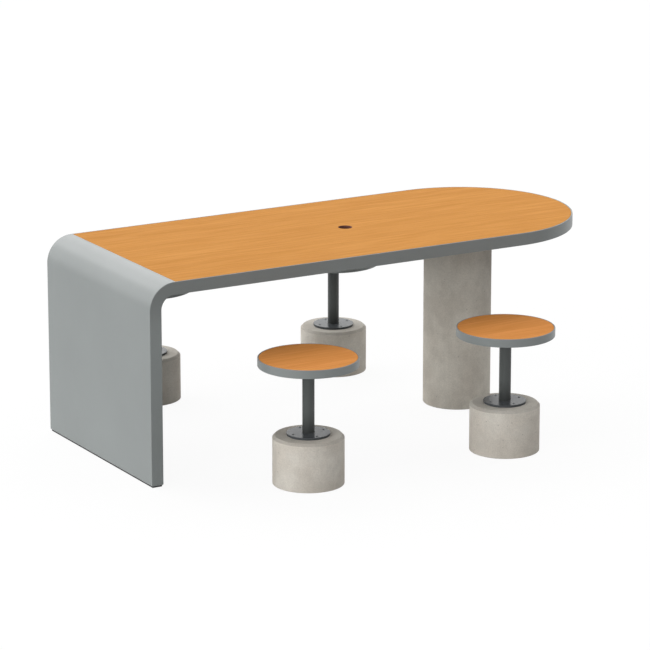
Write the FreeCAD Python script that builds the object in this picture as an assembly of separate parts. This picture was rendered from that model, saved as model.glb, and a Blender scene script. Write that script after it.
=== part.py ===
import FreeCAD, Part
import math
import os

# A long table with a waterfall end, a round end on a concrete column, and four stools.
# Millimetres. +X runs from the leg panel to the round end, +Y to the back, +Z up.
# The origin is on the floor under the middle of the set. The functions below measure
# X from the leg panel's outer face, and save() moves each piece into the frame.

Vec = FreeCAD.Vector

# Table casing, of welded and coated sheet metal
table_length = 1900.0
table_width = 800.0
table_height = 720.0
slab_thickness = 45.0
bend_inner_radius = 50.0
cheek_thickness = 5.0
skin_thickness = 4.0
lining_thickness = 4.0
bend_land = 7.0
casing_arris = 1.2
weld_gap = 0.2

# Foot of the leg panel
foot_strip_height = 6.0
foot_bar_height = 16.0
foot_corner_radius = 4.0

# Board let into the top, and the sheet under it
inlay_thickness = 13.0
inlay_gap = 0.3
inlay_arris = 0.8
deck_thickness = 3.0

# Hole for a parasol in the middle of the board, lined below the board
parasol_hole_diameter = 50.0
sleeve_wall = 3.0
sleeve_gap = 0.2

# Folded channels inside the slab and the leg panel
rib_width = 40.0
rib_wall = 3.0
slab_rib_pitch = 260.0
slab_rib_pitch_shares = (-2.5, -1.5, -0.5, 0.5)
panel_rib_count = 4

# Concrete column under the round end, and the steel that joins it to the slab
pedestal_diameter = 250.0
pedestal_setback = 423.0
head_plate_reach = 35.0
head_plate_thickness = 8.0
boss_plate_thickness = 8.0
slab_bolt_reach = 17.0
slab_bolt_count = 4
anchor_tube_diameter = 88.9
anchor_tube_wall = 4.0
anchor_tube_length = 220.0
cast_gap = 0.1

# Stools
first_stool_x = 500.0
stool_pitch = 800.0
stool_aisle = 207.0
seat_diameter = 350.0
seat_height = 450.0
seat_thickness = 30.0
seat_rim_wall = 4.5
seat_floor_thickness = 4.0
spider_bar_width = 22.0
spider_end_gap = 12.0
seat_plate_width = 150.0
seat_plate_thickness = 6.0
post_diameter = 42.4
post_wall = 3.2
flange_diameter = 152.0
flange_thickness = 8.0
base_diameter = 250.0
base_height = 174.0
base_arris = 9.0

# Hexagon bolts that hold the slab down, with plain shanks
bolt_shank_diameter = 8.0
bolt_head_width = 13.0
bolt_head_height = 5.5
bolt_hole_gap = 0.5
thread_gap = 0.05

# Surplus length of a cutting tool past the face that it cuts
overrun = 5.0

# Levels and places that follow from the sizes above
bend_outer_radius = bend_inner_radius + slab_thickness
bend_centre_z = table_height - bend_outer_radius
soffit_z = table_height - slab_thickness
end_radius = table_width / 2
end_centre_x = table_length - end_radius
inner_half_width = table_width / 2 - cheek_thickness
inlay_start_x = bend_outer_radius + bend_land
deck_top_z = table_height - inlay_thickness
deck_bottom_z = deck_top_z - deck_thickness
void_bottom_z = soffit_z + lining_thickness
foot_bar_top_z = foot_strip_height + foot_bar_height
inlay_front_x = inlay_start_x + inlay_gap
inlay_end_x = table_length - cheek_thickness - inlay_gap
parasol_x = (inlay_front_x + inlay_end_x) / 2
sleeve_outer_radius = parasol_hole_diameter / 2 + sleeve_wall
pedestal_x = table_length - pedestal_setback
column_top_z = soffit_z - head_plate_thickness
head_plate_radius = pedestal_diameter / 2 + head_plate_reach
slab_bolt_circle = pedestal_diameter + 2 * slab_bolt_reach
flange_top_z = base_height + flange_thickness
seat_bottom_z = seat_height - seat_thickness
spider_height = seat_thickness - seat_floor_thickness - inlay_thickness


def bent_strip(near, far, foot_z, end_x):
    """Face in the XZ plane, between two depths below the casing's outer surface.

    It rises from foot_z, follows the bend and runs level to end_x.
    """
    turn = math.radians(45)
    centre = Vec(bend_outer_radius, 0, bend_centre_z)
    to_middle = Vec(-math.cos(turn), 0, math.sin(turn))
    corners = {}
    for depth in (near, far):
        radius = bend_outer_radius - depth
        corners[depth] = [
            Vec(depth, 0, foot_z),
            Vec(depth, 0, bend_centre_z),
            centre + to_middle * radius,
            Vec(bend_outer_radius, 0, table_height - depth),
            Vec(end_x, 0, table_height - depth),
        ]
    a = corners[near]
    b = corners[far]
    edges = [
        Part.LineSegment(a[0], a[1]),
        Part.Arc(a[1], a[2], a[3]),
        Part.LineSegment(a[3], a[4]),
        Part.LineSegment(a[4], b[4]),
        Part.LineSegment(b[4], b[3]),
        Part.Arc(b[3], b[2], b[1]),
        Part.LineSegment(b[1], b[0]),
        Part.LineSegment(b[0], a[0]),
    ]
    return Part.Face(Part.Wire([edge.toShape() for edge in edges]))


def foot_outline():
    """Face in the XZ plane: the panel's foot, with both lower corners rounded."""
    low = foot_strip_height
    high = foot_bar_top_z
    r = foot_corner_radius
    turn = math.radians(45)
    bulge = r * (1 - math.cos(turn))
    wide = slab_thickness
    edges = [
        Part.LineSegment(Vec(0, 0, high), Vec(0, 0, low + r)),
        Part.Arc(Vec(0, 0, low + r), Vec(bulge, 0, low + bulge), Vec(r, 0, low)),
        Part.LineSegment(Vec(r, 0, low), Vec(wide - r, 0, low)),
        Part.Arc(Vec(wide - r, 0, low), Vec(wide - bulge, 0, low + bulge), Vec(wide, 0, low + r)),
        Part.LineSegment(Vec(wide, 0, low + r), Vec(wide, 0, high)),
        Part.LineSegment(Vec(wide, 0, high), Vec(0, 0, high)),
    ]
    return Part.Face(Part.Wire([edge.toShape() for edge in edges]))


def across(face, from_y, to_y):
    """Solid swept from an XZ face between two places along Y."""
    moved = face.copy()
    moved.translate(Vec(0, from_y, 0))
    return moved.extrude(Vec(0, to_y - from_y, 0))


def slab_plan(start_x, margin, low_z, high_z):
    """Solid with the table's plan shape: straight sides and a half-round end."""
    half = table_width / 2 - margin
    tip = Vec(end_centre_x + half, 0, low_z)
    front = Vec(end_centre_x, -half, low_z)
    back = Vec(end_centre_x, half, low_z)
    edges = [
        Part.LineSegment(Vec(start_x, -half, low_z), front),
        Part.Arc(front, tip, back),
        Part.LineSegment(back, Vec(start_x, half, low_z)),
        Part.LineSegment(Vec(start_x, half, low_z), Vec(start_x, -half, low_z)),
    ]
    face = Part.Face(Part.Wire([edge.toShape() for edge in edges]))
    return face.extrude(Vec(0, 0, high_z - low_z))


def disc(x, y, low_z, high_z, radius):
    """Upright cylinder between two levels."""
    return Part.makeCylinder(radius, high_z - low_z, Vec(x, y, low_z))


def drill(x, y, low_z, high_z, radius):
    """Cutter for a hole through everything between two levels."""
    return disc(x, y, low_z - overrun, high_z + overrun, radius)


def turned(points):
    """Solid of revolution about Z, from (radius, z) corners."""
    corners = [Vec(r, 0, z) for r, z in points]
    face = Part.Face(Part.makePolygon(corners + corners[:1]))
    return face.revolve(Vec(0, 0, 0), Vec(0, 0, 1), 360)


def hexagon(width, low_z, high_z):
    """Six-sided prism on the Z axis, given its width across flats."""
    corner_radius = width / 2 / math.cos(math.pi / 6)
    corners = []
    for step in range(6):
        angle = math.pi / 3 * step
        corners.append(Vec(corner_radius * math.cos(angle), corner_radius * math.sin(angle), low_z))
    face = Part.Face(Part.makePolygon(corners + corners[:1]))
    return face.extrude(Vec(0, 0, high_z - low_z))


def soften(solid, plane_y):
    """Break the long outer edges of a cheek that lie in its outer face."""
    edges = []
    for edge in solid.Edges:
        box = edge.BoundBox
        in_face = abs(box.YMin - plane_y) < weld_gap and abs(box.YMax - plane_y) < weld_gap
        at_joint = abs(box.XMin - end_centre_x) < weld_gap
        if in_face and not at_joint:
            edges.append(edge)
    return solid.makeChamfer(casing_arris, edges)


def cheek(side):
    """Side plate of slab, bend and leg panel. side is -1 at the front, 1 at the back."""
    outer_y = side * table_width / 2
    inner_y = side * inner_half_width
    upper = across(bent_strip(0, slab_thickness, foot_bar_top_z, end_centre_x), inner_y, outer_y)
    foot = across(foot_outline(), inner_y, outer_y)
    return soften(upper.fuse(foot).removeSplitter(), outer_y)


def round_end_band():
    """Flat bar rolled to the half circle, its outer edges broken like the cheeks'."""
    outer = end_radius
    inner = end_radius - cheek_thickness
    low = soffit_z
    high = table_height
    edge = casing_arris
    ring = turned(
        [
            (inner, low),
            (outer - edge, low),
            (outer, low + edge),
            (outer, high - edge),
            (outer - edge, high),
            (inner, high),
        ]
    )
    ring.translate(Vec(end_centre_x, 0, 0))
    reach = table_width
    half = Part.makeBox(reach, 2 * reach, reach, Vec(end_centre_x, -reach, low - overrun))
    return ring.common(half)


def waterfall_skin():
    """Outer sheet of leg panel and bend. It ends in a lip that stands on the deck."""
    sheet = bent_strip(0, skin_thickness, foot_bar_top_z, inlay_start_x)
    sheet = across(sheet, -inner_half_width, inner_half_width)
    lip = Part.makeBox(
        skin_thickness,
        2 * inner_half_width,
        inlay_thickness,
        Vec(inlay_start_x - skin_thickness, -inner_half_width, deck_top_z),
    )
    return sheet.fuse(lip).removeSplitter()


def panel_lining():
    """Inner sheet of leg panel and bend, up to the start of the soffit sheet."""
    depth = slab_thickness - lining_thickness
    sheet = bent_strip(depth, slab_thickness, foot_bar_top_z, inlay_start_x)
    return across(sheet, -inner_half_width, inner_half_width)


def soffit_sheet():
    """Flat underside of the slab, from the bend to the round end."""
    sheet = slab_plan(inlay_start_x + weld_gap, cheek_thickness + weld_gap, soffit_z, void_bottom_z)
    sheet = sheet.cut(drill(parasol_x, 0, soffit_z, void_bottom_z, sleeve_outer_radius + sleeve_gap))
    return drill_for_bolts(sheet, soffit_z, void_bottom_z, bolt_hole_gap)


def slab_bolt_places():
    """Places on a circle round the pedestal, between the slab's long axes."""
    places = []
    for index in range(slab_bolt_count):
        angle = 2 * math.pi * (index + 0.5) / slab_bolt_count
        x = pedestal_x + slab_bolt_circle / 2 * math.cos(angle)
        places.append((x, slab_bolt_circle / 2 * math.sin(angle)))
    return places


def drill_for_bolts(solid, low_z, high_z, gap):
    """Solid with a hole for each slab bolt, wider than its shank by the gap all round."""
    for x, y in slab_bolt_places():
        solid = solid.cut(drill(x, y, low_z, high_z, bolt_shank_diameter / 2 + gap))
    return solid


def top_inlay():
    """Board of the table top, flush with the rim, with the parasol hole."""
    board = slab_plan(inlay_front_x, cheek_thickness + inlay_gap, deck_top_z, table_height)
    rim = [edge for edge in board.Edges if edge.BoundBox.ZMin > deck_top_z + inlay_thickness / 2]
    board = board.makeChamfer(inlay_arris, rim)
    return board.cut(drill(parasol_x, 0, deck_top_z, table_height, parasol_hole_diameter / 2))


def inlay_deck():
    """Sheet that carries the board, from the bend to the round end."""
    sheet = slab_plan(bend_outer_radius, cheek_thickness + weld_gap, deck_bottom_z, deck_top_z)
    hole = drill(parasol_x, 0, deck_bottom_z, deck_top_z, sleeve_outer_radius + sleeve_gap)
    return sheet.cut(hole)


def parasol_sleeve():
    """Tube from the slab's underside to the board, in line with the board's hole."""
    tube = disc(parasol_x, 0, soffit_z, deck_top_z, sleeve_outer_radius)
    return tube.cut(drill(parasol_x, 0, soffit_z, deck_top_z, parasol_hole_diameter / 2))


def channel_outline(width, depth):
    """Corners of a folded channel: web on the near side, flanges to the far side."""
    half = width / 2
    return [
        (-half, 0),
        (half, 0),
        (half, depth),
        (half - rib_wall, depth),
        (half - rib_wall, rib_wall),
        (-half + rib_wall, rib_wall),
        (-half + rib_wall, depth),
        (-half, depth),
    ]


def slab_ribs():
    """Cross channels that carry the deck and stand on the soffit sheet."""
    depth = deck_bottom_z - void_bottom_z
    places = [parasol_x + share * slab_rib_pitch for share in slab_rib_pitch_shares]
    places.append(pedestal_x + head_plate_radius + rib_width)
    ribs = []
    for x in places:
        beyond = max(0, x + rib_width / 2 - end_centre_x)
        reach = end_radius - cheek_thickness - weld_gap
        half_length = math.sqrt(reach**2 - beyond**2) - weld_gap
        corners = [Vec(x + u, -half_length, deck_bottom_z - v) for u, v in channel_outline(rib_width, depth)]
        face = Part.Face(Part.makePolygon(corners + corners[:1]))
        ribs.append(face.extrude(Vec(0, 2 * half_length, 0)))
    return Part.makeCompound(ribs)


def panel_ribs():
    """Uprights between the panel's two sheets, from the foot bar to the bend."""
    depth = slab_thickness - skin_thickness - lining_thickness
    spacing = 2 * inner_half_width / panel_rib_count
    ribs = []
    for index in range(panel_rib_count):
        y = -inner_half_width + spacing * (index + 0.5)
        corners = [
            Vec(skin_thickness + v, y + u, foot_bar_top_z) for u, v in channel_outline(rib_width, depth)
        ]
        face = Part.Face(Part.makePolygon(corners + corners[:1]))
        ribs.append(face.extrude(Vec(0, 0, bend_centre_z - foot_bar_top_z)))
    return Part.makeCompound(ribs)


def foot_bar():
    """Solid bar between the cheeks that closes and weights the panel's foot."""
    return across(foot_outline(), -inner_half_width, inner_half_width)


def foot_strip():
    """Dark strip bonded under the flat of the foot bar."""
    wide = slab_thickness - 2 * foot_corner_radius
    long = table_width - 2 * foot_corner_radius
    strip = Part.makeBox(wide, long, foot_strip_height, Vec(foot_corner_radius, -long / 2, 0))
    return strip


def slab_boss_plate():
    """Thick disc on the soffit sheet, tapped for the bolts that hold the slab down."""
    top_z = void_bottom_z + boss_plate_thickness
    plate = disc(pedestal_x, 0, void_bottom_z, top_z, head_plate_radius)
    return drill_for_bolts(plate, void_bottom_z, top_z, thread_gap)


def pedestal_head_plate():
    """Disc on top of the column, wide enough to bolt the slab from below."""
    plate = disc(pedestal_x, 0, column_top_z, soffit_z, head_plate_radius)
    return drill_for_bolts(plate, column_top_z, soffit_z, bolt_hole_gap)


def slab_bolts():
    """Bolts from below, through head plate and soffit sheet into the boss plate."""
    top_z = void_bottom_z + boss_plate_thickness
    bolts = []
    for x, y in slab_bolt_places():
        head = hexagon(bolt_head_width, column_top_z - bolt_head_height, column_top_z)
        head.translate(Vec(x, y, 0))
        shank = disc(x, y, column_top_z, top_z, bolt_shank_diameter / 2)
        bolts.append(shank.fuse(head).removeSplitter())
    return Part.makeCompound(bolts)


def tube_below(top_z, gap):
    """Anchor tube's space below a level, wider than the tube by the gap all round."""
    outer = anchor_tube_diameter / 2 + gap
    inner = anchor_tube_diameter / 2 - anchor_tube_wall - gap
    low_z = column_top_z - anchor_tube_length - gap
    return disc(pedestal_x, 0, low_z, top_z, outer).cut(drill(pedestal_x, 0, low_z, top_z, inner))


def pedestal_anchor_tube():
    """Tube welded under the head plate and cast into the column."""
    return tube_below(column_top_z, 0)


def pedestal_column():
    """Concrete column, cast round and inside the anchor tube."""
    column = disc(pedestal_x, 0, 0, column_top_z, pedestal_diameter / 2)
    return column.cut(tube_below(column_top_z + overrun, cast_gap))


def stool_base():
    """Cast concrete base with a broken upper edge."""
    radius = base_diameter / 2
    return turned(
        [
            (0, 0),
            (radius, 0),
            (radius, base_height - base_arris),
            (radius - base_arris, base_height),
            (0, base_height),
        ]
    )


def stool_flange():
    """Steel disc on the base, under the post."""
    return disc(0, 0, base_height, flange_top_z, flange_diameter / 2)


def stool_post():
    """Round tube from the flange to the seat plate."""
    top = seat_bottom_z - seat_plate_thickness
    tube = disc(0, 0, flange_top_z, top, post_diameter / 2)
    return tube.cut(drill(0, 0, flange_top_z, top, post_diameter / 2 - post_wall))


def stool_seat_plate():
    """Square plate welded to the post's top, under the pan's floor."""
    half = seat_plate_width / 2
    low = seat_bottom_z - seat_plate_thickness
    return Part.makeBox(2 * half, 2 * half, seat_plate_thickness, Vec(-half, -half, low))


def stool_seat_pan():
    """Round dish: a rim of the seat's full height on a flat floor."""
    outer = seat_diameter / 2
    inner = outer - seat_rim_wall
    floor = seat_bottom_z + seat_floor_thickness
    return turned(
        [
            (0, seat_bottom_z),
            (outer, seat_bottom_z),
            (outer, seat_height - casing_arris),
            (outer - casing_arris, seat_height),
            (inner, seat_height),
            (inner, floor),
            (0, floor),
        ]
    )


def stool_seat_spider():
    """Cross of two bars on the pan's floor, which carries the board."""
    low = seat_bottom_z + seat_floor_thickness
    reach = seat_diameter / 2 - seat_rim_wall - spider_end_gap
    half = spider_bar_width / 2
    along_x = Part.makeBox(2 * reach, spider_bar_width, spider_height, Vec(-reach, -half, low))
    along_y = Part.makeBox(spider_bar_width, 2 * reach, spider_height, Vec(-half, -reach, low))
    return along_x.fuse(along_y).removeSplitter()


def stool_seat_inlay():
    """Round board, flush with the rim, on the spider's bars."""
    radius = seat_diameter / 2 - seat_rim_wall - inlay_gap
    return disc(0, 0, seat_height - inlay_thickness, seat_height, radius)


def save(name, shape, x=0, y=0):
    """Place a piece in the set's frame and write its file."""
    placed = shape.copy()
    placed.translate(Vec(x - table_length / 2, y, 0))
    if not placed.isValid():
        raise ValueError(name + " is not a valid shape")
    placed.exportStep(os.path.join("parts", name + ".step"))


table_pieces = {
    "waterfall_skin": waterfall_skin(),
    "panel_lining": panel_lining(),
    "soffit_sheet": soffit_sheet(),
    "front_cheek": cheek(-1),
    "back_cheek": cheek(1),
    "round_end_band": round_end_band(),
    "top_inlay": top_inlay(),
    "inlay_deck": inlay_deck(),
    "parasol_sleeve": parasol_sleeve(),
    "slab_ribs": slab_ribs(),
    "panel_ribs": panel_ribs(),
    "foot_bar": foot_bar(),
    "foot_strip": foot_strip(),
    "slab_boss_plate": slab_boss_plate(),
    "pedestal_head_plate": pedestal_head_plate(),
    "slab_bolts": slab_bolts(),
    "pedestal_anchor_tube": pedestal_anchor_tube(),
    "pedestal_column": pedestal_column(),
}

stool_pieces = {
    "base": stool_base(),
    "flange": stool_flange(),
    "post": stool_post(),
    "seat_plate": stool_seat_plate(),
    "seat_pan": stool_seat_pan(),
    "seat_spider": stool_seat_spider(),
    "seat_inlay": stool_seat_inlay(),
}

stool_row_y = table_width / 2 + stool_aisle
stool_places = {
    "front_left": (first_stool_x, -stool_row_y),
    "front_right": (first_stool_x + stool_pitch, -stool_row_y),
    "back_left": (first_stool_x, stool_row_y),
    "back_right": (first_stool_x + stool_pitch, stool_row_y),
}

os.makedirs("parts", exist_ok=True)
for piece_name, piece in table_pieces.items():
    save(piece_name, piece)
for stool_name, (stool_x, stool_y) in stool_places.items():
    for piece_name, piece in stool_pieces.items():
        save(stool_name + "_" + piece_name, piece, stool_x, stool_y)
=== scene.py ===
"""Looks of a long table with a waterfall end, a round end on a concrete column, and four stools.

Sizes are in metres, in the frame's axes: +X runs from the leg panel to the round end, +Y to
the back and +Z up. Each sub-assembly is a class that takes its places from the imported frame,
builds its meshes and dresses them in its finishes.
"""

from __future__ import annotations

import logging
import math
from collections.abc import Callable, Sequence
from dataclasses import dataclass, field
from enum import Enum

import bmesh
import bpy
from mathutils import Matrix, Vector, noise


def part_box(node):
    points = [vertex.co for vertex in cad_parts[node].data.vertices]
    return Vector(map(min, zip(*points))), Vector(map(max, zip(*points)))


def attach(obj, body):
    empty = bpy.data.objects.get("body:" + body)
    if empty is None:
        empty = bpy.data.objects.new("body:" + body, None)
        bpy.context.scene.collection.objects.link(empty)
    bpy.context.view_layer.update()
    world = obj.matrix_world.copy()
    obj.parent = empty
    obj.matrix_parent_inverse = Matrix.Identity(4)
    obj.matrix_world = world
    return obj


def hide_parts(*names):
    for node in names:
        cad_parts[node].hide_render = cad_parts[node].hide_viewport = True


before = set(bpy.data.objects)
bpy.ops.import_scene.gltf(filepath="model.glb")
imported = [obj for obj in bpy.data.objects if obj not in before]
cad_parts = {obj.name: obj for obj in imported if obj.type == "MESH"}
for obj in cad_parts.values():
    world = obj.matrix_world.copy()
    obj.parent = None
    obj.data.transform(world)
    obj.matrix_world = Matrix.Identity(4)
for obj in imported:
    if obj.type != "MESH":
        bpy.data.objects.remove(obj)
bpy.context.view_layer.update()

log = logging.getLogger("table_with_stools")

BMesh = bmesh.types.BMesh
Material = bpy.types.Material
Object = bpy.types.Object
Socket = bpy.types.NodeSocket
Tree = bpy.types.NodeTree
Build = Callable[[BMesh], None]
Colour = tuple[float, float, float]
Loop = list[bmesh.types.BMVert]
Point = tuple[float, float]

BODY = "root"
NOISE_RANGE = (0.3, 0.7)
WHITE = (1.0, 1.0, 1.0, 1.0)
UPSIDE_DOWN = (math.pi, 0.0, 0.0)
DOWN_THE_LINE = ("-Z", "Y")
ARRIS_FACES = 3
ARRIS_ANGLE = math.radians(35)


class Slot(Enum):
    """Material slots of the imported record."""

    CASING = "casing_coat"
    BOARD = "wood_board"
    CONCRETE = "concrete"
    FLANGE = "flange_steel"
    POST = "post_coat"
    FOOT = "foot_rubber"


class StoolPlace(Enum):
    """The four stools, by the start of their nodes' names."""

    FRONT_LEFT = "front_left"
    FRONT_RIGHT = "front_right"
    BACK_LEFT = "back_left"
    BACK_RIGHT = "back_right"


class TreeKind(Enum):
    """Kinds of node group that the script builds."""

    SHADER = "ShaderNodeTree"
    GEOMETRY = "GeometryNodeTree"


class Pin(Enum):
    """Kinds of a node group's sockets."""

    NUMBER = "NodeSocketFloat"
    COUNT = "NodeSocketInt"
    VECTOR = "NodeSocketVector"
    GEOMETRY = "NodeSocketGeometry"
    MATERIAL = "NodeSocketMaterial"


class Sheet:
    """Adds, sets and links the nodes of one node tree."""

    def __init__(self, tree: Tree) -> None:
        """Keep the tree that the nodes go into."""
        self.tree = tree

    def put(self, value: object, target: Socket) -> None:
        """Give an input its value.

        Args:
            value: A plain value, or a socket to link the input from.
            target: The input.
        """
        if isinstance(value, Socket):
            self.tree.links.new(value, target)
        else:
            target.default_value = value

    def add(self, kind: str, values: dict | None = None, **settings: object) -> bpy.types.Node:
        """Add one node.

        Args:
            kind: The node's Blender type.
            values: A value or a socket for each input, by the input's name or index.
            settings: The node's own properties.

        Returns:
            The new node.
        """
        node = self.tree.nodes.new(kind)
        for name, setting in settings.items():
            setattr(node, name, setting)
        for key, value in (values or {}).items():
            self.put(value, node.inputs[key])
        return node

    def take(self, kind: str, values: dict | None = None, **settings: object) -> Socket:
        """Add one node, as add does, and return its first output."""
        return self.add(kind, values, **settings).outputs[0]

    def math(self, operation: str, first: object, second: object = 0.0) -> Socket:
        """Return the result of a Math node on numbers or sockets."""
        return self.take("ShaderNodeMath", {0: first, 1: second}, operation=operation)

    def times(self, first: object, *factors: object) -> Socket:
        """Multiply numbers and sockets.

        Args:
            first: A number or a socket.
            factors: What it is multiplied by, in order.

        Returns:
            The product's socket.
        """
        for factor in factors:
            first = self.math("MULTIPLY", first, factor)
        return first

    def part(self, vector: Socket, axis: str) -> Socket:
        """Return one part of a vector."""
        return self.add("ShaderNodeSeparateXYZ", {0: vector}).outputs[axis]

    def clouds(self, place: Socket, scale: object, detail: object, roughness: float = 0.5) -> Socket:
        """Return cloudy noise at a place, around 0.5."""
        values = {"Vector": place, "Scale": scale, "Detail": detail, "Roughness": roughness}
        return self.take("ShaderNodeTexNoise", values)

    def between(self, value: Socket, levels: Sequence[object], ends: Sequence[object]) -> Socket:
        """Map a value smoothly from one range to another.

        Args:
            value: The socket to map.
            levels: The values that give the two ends, numbers or sockets.
            ends: The results at those values, numbers or sockets.

        Returns:
            The mapped value's socket.
        """
        names = ("Value", "From Min", "From Max", "To Min", "To Max")
        values = dict(zip(names, (value, *levels, *ends)))
        return self.take("ShaderNodeMapRange", values, interpolation_type="SMOOTHSTEP")

    def blend(self, share: object, first: object, second: object, mode: str = "MIX") -> Socket:
        """Mix two colours.

        Args:
            share: How much of the second colour, a number or a socket.
            first: A colour or a socket.
            second: A colour or a socket.
            mode: The Mix node's blend type.

        Returns:
            The mixed colour's socket.
        """
        node = self.add("ShaderNodeMix", data_type="RGBA", blend_type=mode)
        sockets = {socket.identifier: socket for socket in (*node.inputs, *node.outputs)}
        for name, value in (("Factor_Float", share), ("A_Color", first), ("B_Color", second)):
            self.put(value, sockets[name])
        return sockets["Result_Color"]


class GroupSheet(Sheet):
    """The tree of a node group with named inputs and outputs."""

    def __init__(
        self, name: str, kind: TreeKind, inputs: dict[str, Pin | float], outputs: Sequence[str]
    ) -> None:
        """Make the group with its sockets and its two end nodes.

        Args:
            name: The group's name.
            kind: Shader or geometry.
            inputs: The kind of each input, or the number or count that is its default.
            outputs: The outputs' names: numbers in a shader group, geometry in a geometry group.
        """
        super().__init__(bpy.data.node_groups.new(name, kind.value))
        new_socket = self.tree.interface.new_socket
        for label, pin in inputs.items():
            if isinstance(pin, Pin):
                new_socket(label, in_out="INPUT", socket_type=pin.value)
                continue
            number = Pin.COUNT if isinstance(pin, int) else Pin.NUMBER
            new_socket(label, in_out="INPUT", socket_type=number.value).default_value = pin
        result = Pin.NUMBER if kind is TreeKind.SHADER else Pin.GEOMETRY
        for label in outputs:
            new_socket(label, in_out="OUTPUT", socket_type=result.value)
        self.given = list(self.tree.nodes.new("NodeGroupInput").outputs)[: len(inputs)]
        self.end = self.tree.nodes.new("NodeGroupOutput")

    def give(self, *results: Socket) -> Tree:
        """Link the group's outputs.

        Args:
            results: A socket for each output, in order.

        Returns:
            The finished group.
        """
        for target, result in zip(self.end.inputs, results):
            self.put(result, target)
        return self.tree


@dataclass(frozen=True)
class Drift:
    """A slow change of tone: its patches per metre, and how far it goes from 1."""

    patches: float
    contrast: float


@dataclass(frozen=True)
class Relief:
    """A small even relief: its grains per metre, their sharpness, its depth, and how much of it shows."""

    grains: float
    sharpness: float
    depth: float
    strength: float = 1.0


@dataclass(frozen=True)
class GrainLayer:
    """One layer of streaky grain: its scales along and across the board, and its detail."""

    name: str
    along: float
    across: float
    detail: float


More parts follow.
